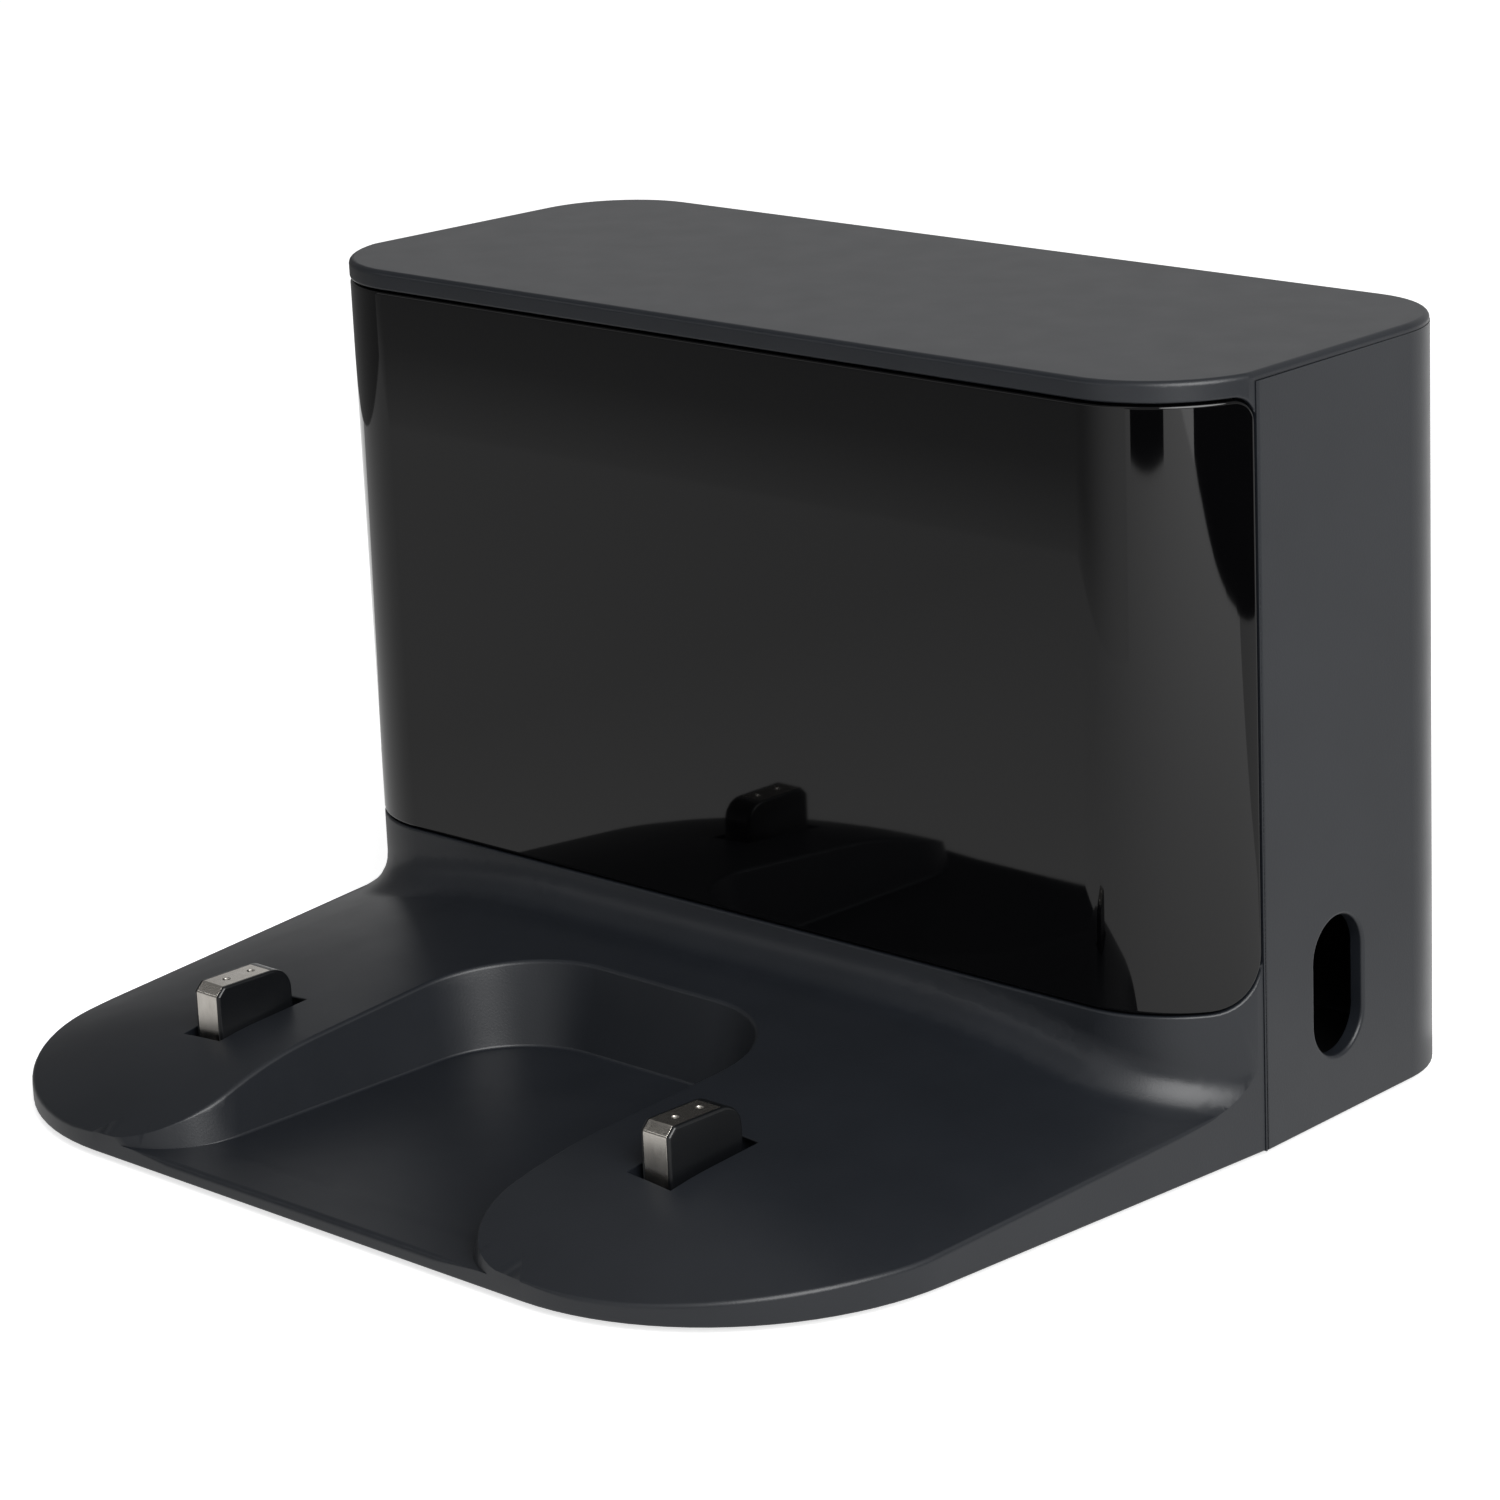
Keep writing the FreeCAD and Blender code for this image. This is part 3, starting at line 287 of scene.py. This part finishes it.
def gloss_window():
    """Dark polished plastic with a faint waviness of the moulding."""
    shader = Shader("window_gloss", roughness=0.03, ior=1.45)
    shader.colours(shader.noise(size=40 * MM), low=(0.0006, 0.0006, 0.0008), high=(0.001, 0.001, 0.0012))
    shader.vary("Roughness", shader.noise(size=18 * MM, detail=3), low=0.02, high=0.05)
    shader.bump(shader.noise(size=25 * MM, detail=1), depth=0.01 * MM)
    return shader.material


def drawn_metal(name, low, high, roughness, stretch=(1, 1, 0.1)):
    """Metal with fine drawing lines along one direction."""
    shader = Shader(name, roughness, metallic=1.0)
    lines = shader.noise(size=0.5 * MM, detail=3, roughness=0.6, stretch=stretch)
    shader.colours(shader.noise(size=2 * MM), low, high)
    shader.vary("Roughness", lines, low=roughness - 0.06, high=roughness + 0.08)
    shader.bump(lines, depth=0.004 * MM)
    return shader.material


def circuit_board():
    """Solder mask over copper tracks that run along the board."""
    shader = Shader("board_green", roughness=0.35, coat=0.3)
    tracks = shader.lines(spacing=2.4 * MM, direction="DIAGONAL")
    shader.colours(tracks, low=(0.006, 0.05, 0.022), high=(0.012, 0.085, 0.04))
    shader.vary("Roughness", shader.noise(size=3 * MM), low=0.28, high=0.42)
    shader.bump(tracks, depth=0.03 * MM)
    return shader.material


def wound_wire(name, low, high, spacing, direction):
    """Enamelled wire laid turn beside turn."""
    shader = Shader(name, roughness=0.3, metallic=0.85)
    turns = shader.lines(spacing, direction)
    shader.colours(shader.noise(size=2 * MM), low, high)
    shader.vary("Roughness", turns, low=0.24, high=0.4)
    shader.bump(turns, depth=0.2 * MM)
    return shader.material


def shrink_sleeve(name, low, high):
    """Glossy shrink sleeve with slight wrinkles."""
    shader = Shader(name, roughness=0.25)
    wrinkles = shader.noise(size=3 * MM, stretch=(1, 0.2, 1))
    shader.colours(shader.noise(size=5 * MM), low, high)
    shader.vary("Roughness", wrinkles, low=0.18, high=0.34)
    shader.bump(wrinkles, depth=0.05 * MM)
    return shader.material


def clear_epoxy():
    """Smoky resin of the infrared emitters."""
    shader = Shader("emitter_epoxy", roughness=0.06, ior=1.52)
    shader.set("Transmission Weight", 0.7)
    shader.colours(shader.noise(size=2 * MM), low=(0.05, 0.03, 0.06), high=(0.08, 0.05, 0.1))
    shader.vary("Roughness", shader.noise(size=1 * MM), low=0.03, high=0.1)
    return shader.material


def both(name):
    """The left and the right one of a pair of nodes."""
    return "left_" + name, "right_" + name


def feet():
    """The four feet's names."""
    return [end + "_" + foot for end in ("front", "rear") for foot in both("foot")]


def shared(material, *names):
    """One material for several nodes."""
    return {name: material for name in names}


def shells():
    """Housing, cover, window and the black mouldings inside."""
    charcoal = moulded_plastic("housing_charcoal", (0.0072, 0.0088, 0.0118), (0.009, 0.0108, 0.0143), 0.4)
    black = moulded_plastic("black_moulding", (0.009, 0.009, 0.01), (0.012, 0.012, 0.013), 0.5)
    inner = ("base_plate", "cable_tray", "power_inlet", "light_baffle", *both("contact_guide"))
    return {
        "ir_window": gloss_window(),
        **shared(charcoal, "front_housing", "rear_cover"),
        **shared(black, *inner),
    }


def contacts():
    """Contact blocks and their strips."""
    satin = moulded_plastic("contact_black", (0.003, 0.0035, 0.0042), (0.0045, 0.005, 0.006), 0.3)
    nickel = drawn_metal("contact_nickel", (0.72, 0.68, 0.62), (0.8, 0.76, 0.7), 0.22)
    return {**shared(satin, *both("contact_block")), **shared(nickel, *both("contact_strip"))}


def fittings():
    """Feet, ballast, screws and springs."""
    rubber = moulded_plastic("foot_rubber", (0.006, 0.006, 0.006), (0.01, 0.01, 0.01), 0.8,
                             grain=0.6 * MM, depth=0.03 * MM)
    steel = drawn_metal("ballast_steel", (0.3, 0.3, 0.31), (0.4, 0.4, 0.41), 0.45, (0.1, 1, 1))
    zinc = drawn_metal("screw_zinc", (0.5, 0.5, 0.48), (0.62, 0.62, 0.6), 0.34)
    screws = ("base_screws", "board_screws", "emitter_board_screws")
    return {
        **shared(rubber, *feet()),
        "ballast_plate": steel,
        **shared(zinc, *screws, *both("contact_spring")),
    }


def electronics():
    """Boards, what is mounted on them, the inlet's pins and the leads."""
    aluminium = drawn_metal("sink_aluminium", (0.7, 0.7, 0.71), (0.78, 0.78, 0.79), 0.35, (0.1, 1, 1))
    brass = drawn_metal("pin_brass", (0.6, 0.45, 0.2), (0.7, 0.54, 0.26), 0.28, (1, 0.1, 1))
    sleeve = shrink_sleeve("capacitor_sleeve", (0.008, 0.012, 0.04), (0.014, 0.02, 0.06))
    return {
        **shared(circuit_board(), "power_board", "emitter_board"),
        **shared(sleeve, "input_capacitor", "output_capacitors"),
        "transformer_core": moulded_plastic("core_ferrite", (0.02, 0.02, 0.022), (0.032, 0.032, 0.035), 0.6),
        "transformer_winding": wound_wire("winding_copper", (0.55, 0.2, 0.08), (0.68, 0.28, 0.12),
                                          spacing=0.5 * MM, direction="Z"),
        "input_choke": wound_wire("choke_copper", (0.5, 0.18, 0.07), (0.62, 0.25, 0.1),
                                  spacing=0.8 * MM, direction="X"),
        "heat_sink": aluminium,
        "inlet_pins": brass,
        "ir_emitters": clear_epoxy(),
        "left_contact_lead": shrink_sleeve("lead_black", (0.01, 0.01, 0.01), (0.016, 0.016, 0.016)),
        "right_contact_lead": shrink_sleeve("lead_red", (0.25, 0.012, 0.01), (0.34, 0.02, 0.016)),
    }


def add(name, data):
    """A new object in the scene."""
    made = bpy.data.objects.new(name, data)
    bpy.context.scene.collection.objects.link(made)
    return made


def middle(edge):
    """The point half way along an edge."""
    return (edge.verts[0].co + edge.verts[1].co) / 2


def surface_of(name):
    """A node's surface, to measure distances to."""
    form = bmesh.new()
    form.from_mesh(NODES[name].data)
    tree = BVHTree.FromBMesh(form)
    form.free()
    return tree


def on_lip(edge):
    """Whether an edge is the front lip of the recess floor."""
    return all(abs(v.co.y - FRONT) < WELD and abs(v.co.z - RECESS_Z) < WELD for v in edge.verts)


def faded(distance, fade):
    """Share of a rounding that is left this far from where it ends."""
    start, run = fade
    return min(1, max(0, (distance - start) / run))


def clear_rims(form):
    """Pulls the loose points of the deck and recess that stand too close to a rim into it."""
    sharp = {v for edge in form.edges if edge.calc_face_angle(0) > SHARP_ANGLE for v in edge.verts}
    short = [edge.verts[:] for edge in form.edges if edge.calc_length() < DECK_RIM]
    pairs = [pair for ends in short for pair in (ends, ends[::-1])]
    pulls = {loose: rim for loose, rim in pairs
             if loose not in sharp and rim in sharp and loose.normal.z > 0 and loose.co.z < DECK_TOP}
    bmesh.ops.weld_verts(form, targetmap=pulls)


def even_out(form):
    """Swaps the diagonals of the deck's thinnest triangles, which a rounding would fold over."""
    low = {face for face in form.faces if len(face.verts) == 3 and face.calc_center_median().z < DECK_TOP}
    gentle = [edge for edge in form.edges
              if low.issuperset(edge.link_faces) and edge.calc_face_angle(0) < GENTLE_ANGLE]
    bmesh.ops.beautify_fill(form, faces=list(low), edges=gentle, method="ANGLE")


def cut_lip(form):
    """Cuts the lip into short pieces and tells how far it reaches to each side."""
    lip = [edge for edge in form.edges if on_lip(edge)]
    reach = max(abs(v.co.x) for edge in lip for v in edge.verts)
    bmesh.ops.subdivide_edges(form, edges=lip, cuts=LIP_PIECES - 1)
    return reach


def housing_rounding(form):
    """Rule for the front housing: rims of the deck, recess, slots and window frame."""
    window = surface_of("ir_window")
    blocks = [surface_of(name) for name in both("contact_block")]
    clear_rims(form)
    even_out(form)
    end = cut_lip(form)

    def rim(place, angle, low):
        """Rounding between the deck and what falls away from it, held back where the fall is short."""
        to_mouth = math.hypot(abs(place.x) - end, place.y - FRONT)
        share = faded(to_mouth, RIM_FADE) * faded(SEAM_Y - place.y, FOOT_FADE)
        width = DECK_RIM * share * min(1, (angle - RIM_ENDS) / (RIM_FULL - RIM_ENDS))
        return min(width, (place.z - RECESS_Z) * RIM_SHARE) if low > FACES_UP else width

    def deck_width(edge, angle, place, low):
        """Rounding of an edge between two faces of the deck, recess or slots."""
        sharp = angle > SHARP_ANGLE
        if not edge.is_convex:
            floor_line = low > FACES_UP and sharp
            return RECESS_FLOOR * faded(place.y - FRONT, FLOOR_FADE) if floor_line else 0
        if min(block.find_nearest(place)[3] for block in blocks) < SLOT_REACH:
            return SLOT_RIM if sharp else 0
        return rim(place, angle, low)

    def width_at(edge, angle):
        place = middle(edge)
        low, high = sorted(face.normal.z for face in edge.link_faces)
        sharp = angle > SHARP_ANGLE
        if place.y > SEAM_Y - SEAM_CLEAR:
            return 0
        if place.z > WINDOW_LOW - FRAME_BELOW:
            near = window.find_nearest(place, FRAME_REACH)[0] is not None
            return FRAME_RIM if near and edge.is_convex and sharp else 0
        if place.z < BOTTOM + UNDERSIDE:
            return BOTTOM_RIM if high > STANDS and sharp else 0
        if on_lip(edge):
            return LIP_RIM * faded(end - abs(place.x), LIP_FADE)
        if high < FACES_UP or low < -FACES_UP:
            return 0
        return deck_width(edge, angle, place, low)

    return width_at


def cover_rounding(form):
    """Rule for the rear cover: both rims of the outlets and the bottom edge."""
    top = max(v.co.z for v in form.verts) * OUTLET_TOP
    outside = max(v.co.x for v in form.verts) - OUTER_DEPTH
    rear = max(v.co.y for v in form.verts) - OUTLET_MARGIN
    front = SEAM_Y + OUTLET_MARGIN

    def width_at(edge, angle):
        place = middle(edge)
        if angle < SHARP_ANGLE:
            return 0
        if front < place.y < rear and OUTLET_MARGIN < place.z < top:
            return OUTLET_RIM if abs(place.x) > outside else INNER_RIM
        return BOTTOM_RIM if place.z < BOTTOM + WELD and place.y > SEAM_Y + BOTTOM_RIM else 0

    return width_at


def block_rounding(form):
    """Rule for the contact blocks: edges above the deck that don't border the strip."""
    strips = [surface_of(name) for name in both("contact_strip")]

    def width_at(edge, angle):
        place = middle(edge)
        clear = min(strip.find_nearest(place)[3] for strip in strips) > STRIP_CLEAR
        above = place.z > BLOCK_FOOT and edge.is_convex and angle > SHARP_ANGLE
        return BLOCK_RIM if clear and above else 0

    return width_at


def strip_rounding(form):
    """Rule for the contact strips: wide outer bends and hardly rounded rims."""

    def width_at(edge, angle):
        if angle < SHARP_ANGLE:
            return 0
        if abs(edge.verts[0].co.x - edge.verts[1].co.x) > BEND_LENGTH and angle < BEND_ANGLE:
            return STRIP_BEND if edge.is_convex else 0
        return STRIP_RIM

    return width_at


def evenly(width, above=0.0):
    """Rule that rounds every sharp edge above a height alike."""

    def width_at(edge, angle):
        return width if angle > SHARP_ANGLE and middle(edge).z > above else 0

    return lambda form: width_at


def roundings():
    """The rounding rule of every node that has one."""
    return {
        "front_housing": housing_rounding,
        "rear_cover": cover_rounding,
        "ir_window": evenly(WINDOW_RIM),
        **shared(block_rounding, *both("contact_block")),
        **shared(strip_rounding, *both("contact_strip")),
        **shared(evenly(FOOT_RIM), *feet()),
        **shared(evenly(INNER_RIM, TRAY_FOOT), "cable_tray", "power_inlet"),
    }


def marked_mesh(name, rule):
    """A copy of a CAD node's mesh, whose sharp edges carry the rounding that a rule gives them."""
    form = bmesh.new()
    form.from_mesh(NODES[name].data)
    bmesh.ops.remove_doubles(form, verts=form.verts, dist=WELD)
    bmesh.ops.dissolve_limit(form, angle_limit=FLAT_ANGLE, verts=form.verts, edges=form.edges)
    width_at = rule(form)
    weights = form.edges.layers.float.new("bevel_weight_edge")
    for face in form.faces:
        face.smooth = True
    for edge in form.edges:
        angle = edge.calc_face_angle(0)
        width = width_at(edge, angle) if angle > RIM_ENDS else 0
        edge[weights] = width / WIDEST
        edge.smooth = width > 0 or angle < SHARP_ANGLE
    mesh = bpy.data.meshes.new(name + "_moulding")
    form.to_mesh(mesh)
    form.free()
    return mesh


def rounded_copy(name, rule):
    """A copy of a CAD node with its sharp edges rounded."""
    mesh = marked_mesh(name, rule)
    piece = add(mesh.name, mesh)
    bevel = piece.modifiers.new("rounding", "BEVEL")
    bevel.limit_method = "WEIGHT"
    bevel.width = WIDEST
    bevel.segments = ROUNDING_STEPS
    bevel.use_clamp_overlap = False
    bevel.loop_slide = False
    shading = piece.modifiers.new("shading", "WEIGHTED_NORMAL")
    shading.keep_sharp = True
    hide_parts(name)
    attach(piece, NODES[name]["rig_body"])
    return piece


def sprung_copy(name):
    """A copy of a contact spring, with a mesh of its own."""
    piece = add(name + "_coil", NODES[name].data.copy())
    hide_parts(name)
    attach(piece, NODES[name]["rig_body"])
    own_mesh(piece)
    return piece


def shown_piece(name, rules):
    """The object that shows a node: a rounded copy, a copy of a spring, or the node itself."""
    if name in rules:
        return rounded_copy(name, rules[name])
    if name in both("contact_spring"):
        return sprung_copy(name)
    return NODES[name]


def dress():
    """Rounds the mouldings and gives every node its finish."""
    rules = roundings()
    finishes = {**shells(), **contacts(), **fittings(), **electronics()}
    for name, material in finishes.items():
        piece = shown_piece(name, rules)
        piece.data.materials.clear()
        piece.data.materials.append(material)


def towards(azimuth, elevation):
    """Direction at an angle round from the front towards the right, and an angle up, in degrees."""
    turn = math.radians(azimuth)
    rise = math.radians(elevation)
    level = math.cos(rise)
    return Vector((math.sin(turn) * level, -math.cos(turn) * level, math.sin(rise)))


def make_camera():
    """The photograph's camera, rolled about its line of sight."""
    back = towards(CAMERA_AZIMUTH, CAMERA_ELEVATION)
    roll = math.radians(CAMERA_ROLL)
    right = (-back).cross(Vector((0, 0, 1))).normalized()
    up = right.cross(-back)
    tilted_right = right * math.cos(roll) + up * math.sin(roll)
    tilted_up = up * math.cos(roll) - right * math.sin(roll)
    turn = Matrix((tilted_right, tilted_up, back)).transposed().to_4x4()
    camera = add("camera", bpy.data.cameras.new("camera"))
    camera.data.lens = CAMERA_LENS
    camera.matrix_world = Matrix.Translation(CAMERA_TARGET + back * CAMERA_DISTANCE) @ turn
    bpy.context.scene.camera = camera


def make_key():
    """Softbox at the right, where the photograph's highlights come from."""
    away = towards(KEY_AZIMUTH, KEY_ELEVATION)
    lamp = add("key", bpy.data.lights.new("key", "AREA"))
    lamp.data.shape = "DISK"
    lamp.data.size = KEY_SIZE
    lamp.data.energy = KEY_POWER
    lamp.location = CAMERA_TARGET + away * KEY_DISTANCE
    lamp.rotation_euler = (-away).to_track_quat("-Z", "Y").to_euler()


def sheet(name, corners):
    """A flat sheet with four corners."""
    mesh = bpy.data.meshes.new(name)
    mesh.from_pydata(corners, [], [(0, 1, 2, 3)])
    return add(name, mesh)


def upright(ends, height):
    """Corners of a standing card, foot first."""
    (x0, y0), (x1, y1) = ends
    return [(x0, y0, 0), (x1, y1, 0), (x1, y1, height), (x0, y0, height)]


def flat(low, high):
    """Corners of a card that lies on the floor, with its foot at the left."""
    (x0, y0), (x1, y1) = low, high
    return [(x0, y1, SHADE_Z), (x0, y0, SHADE_Z), (x1, y0, SHADE_Z), (x1, y1, SHADE_Z)]


def even(grey):
    """Greys of a card that is the same all over."""
    return (0, grey), (1, grey)


def stepped(shader, along, greys):
    """A level that follows a card's greys."""
    ramp = shader.node("ShaderNodeValToRGB")
    stops = ramp.color_ramp.elements
    while len(stops) < len(greys):
        stops.new(0.5)
    for stop, (height, grey) in zip(stops, greys):
        stop.position = height
        stop.color = (grey, grey, grey, 1)
    shader.link(along, ramp.inputs["Fac"])
    return ramp.outputs["Color"]


def faded_out(shader, along, level, start, grey):
    """A level that turns into a grey towards the end of a card."""
    share = shader.node("ShaderNodeMapRange", interpolation_type="SMOOTHSTEP")
    share.inputs["From Min"].default_value = start
    shader.link(along, share.inputs["Value"])
    mix = shader.node("ShaderNodeMix", data_type="FLOAT")
    mix.inputs["B"].default_value = grey
    shader.link(share.outputs["Result"], mix.inputs["Factor"])
    shader.link(level, mix.inputs["A"])
    return mix.outputs["Result"]


def card_cloth(name, greys, fade):
    """Glowing cloth of a card, black to light that falls on it."""
    shader = Shader(name + "_cloth", roughness=1.0)
    shader.set("Base Color", BLACK)
    shader.set("Specular IOR Level", 0)
    shader.set("Emission Color", WHITE)
    across = shader.node("ShaderNodeSeparateXYZ")
    place = shader.node("ShaderNodeTexCoord").outputs["UV"]
    shader.link(place, across.inputs["Vector"])
    level = stepped(shader, across.outputs["Y"], greys)
    if fade:
        level = faded_out(shader, across.outputs["X"], level, *fade)
    shader.drive(level, "Emission Strength")
    shader.material.cycles.emission_sampling = "NONE"
    return shader.material


def make_card(name, corners, greys, fade=None):
    """A card that only mirrored rays see, with greys from its foot (0) to its head (1).

    A fade is the share of its length where its far end begins to turn into a grey of its own, and that grey.
    """
    card = sheet(name, corners)
    spread = card.data.uv_layers.new(name="spread")
    for loop, place in zip(spread.data, ((0, 0), (1, 0), (1, 1), (0, 1))):
        loop.uv = place
    card.visible_camera = False
    card.visible_diffuse = False
    card.visible_shadow = False
    card.visible_transmission = False
    card.data.materials.append(card_cloth(name, greys, fade))


def make_cards():
    """A dark corner at the front left, low flags at the right, a pale wall behind and shades on the floor."""
    left = ((FLAG_X, FLAG_FAR_Y), (FLAG_X, FLAG_NEAR_Y))
    front = ((FRONT_LEFT, FRONT_Y), (FRONT_RIGHT, FRONT_Y))
    make_card("left_flag", upright(left, LEFT_HEIGHT), even(DIM))
    make_card("front_flag", upright(front, FRONT_HEIGHT), FRONT_GREYS, FRONT_FADE)
    make_card("front_shade", flat(*FRONT_SHADE), SHADE_GREYS)
    make_card("side_shade", flat(*SIDE_SHADE), even(SIDE_GREY))
    make_card("near_flag", upright(NEAR_FLAG, LOW_HEIGHT), even(DARK))
    make_card("right_flag", upright(RIGHT_FLAG, LOW_HEIGHT), even(DARK))
    make_card("rear_card", upright(REAR_CARD, REAR_HEIGHT), even(REAR_GREY))


def make_world():
    """Even grey studio light."""
    world = bpy.data.worlds.new("studio")
    bpy.context.scene.world = world
    world.use_nodes = True
    light = world.node_tree.nodes["Background"]
    light.inputs["Color"].default_value = WHITE
    light.inputs["Strength"].default_value = WORLD_LEVEL


def floor_paper():
    """White paper, lifted to white for what looks at it directly, so that only the shadow shows."""
    shader = Shader("floor_paper", FLOOR_ROUGHNESS)
    shader.set("Base Color", FLOOR_COLOUR)
    shader.set("Emission Color", WHITE)
    path = shader.node("ShaderNodeLightPath")
    seen = path.outputs["Is Camera Ray"]
    for kind in ("Is Glossy Ray", "Is Transmission Ray"):
        either = shader.node("ShaderNodeMath", operation="MAXIMUM")
        shader.link(seen, either.inputs[0])
        shader.link(path.outputs[kind], either.inputs[1])
        seen = either.outputs[0]
    lift = shader.node("ShaderNodeMath", operation="MULTIPLY")
    lift.inputs[1].default_value = FLOOR_LIFT
    shader.link(seen, lift.inputs[0])
    shader.drive(lift.outputs[0], "Emission Strength")
    return shader.material


def make_floor():
    """A wide sheet of paper under the object."""
    half = FLOOR_SIZE / 2
    floor = sheet("floor", [(-half, -half, 0), (half, -half, 0), (half, half, 0), (-half, half, 0)])
    floor.data.materials.append(floor_paper())


dress()
make_camera()
make_world()
make_floor()
make_key()
make_cards()
bpy.context.scene.view_settings.view_transform = "Standard"
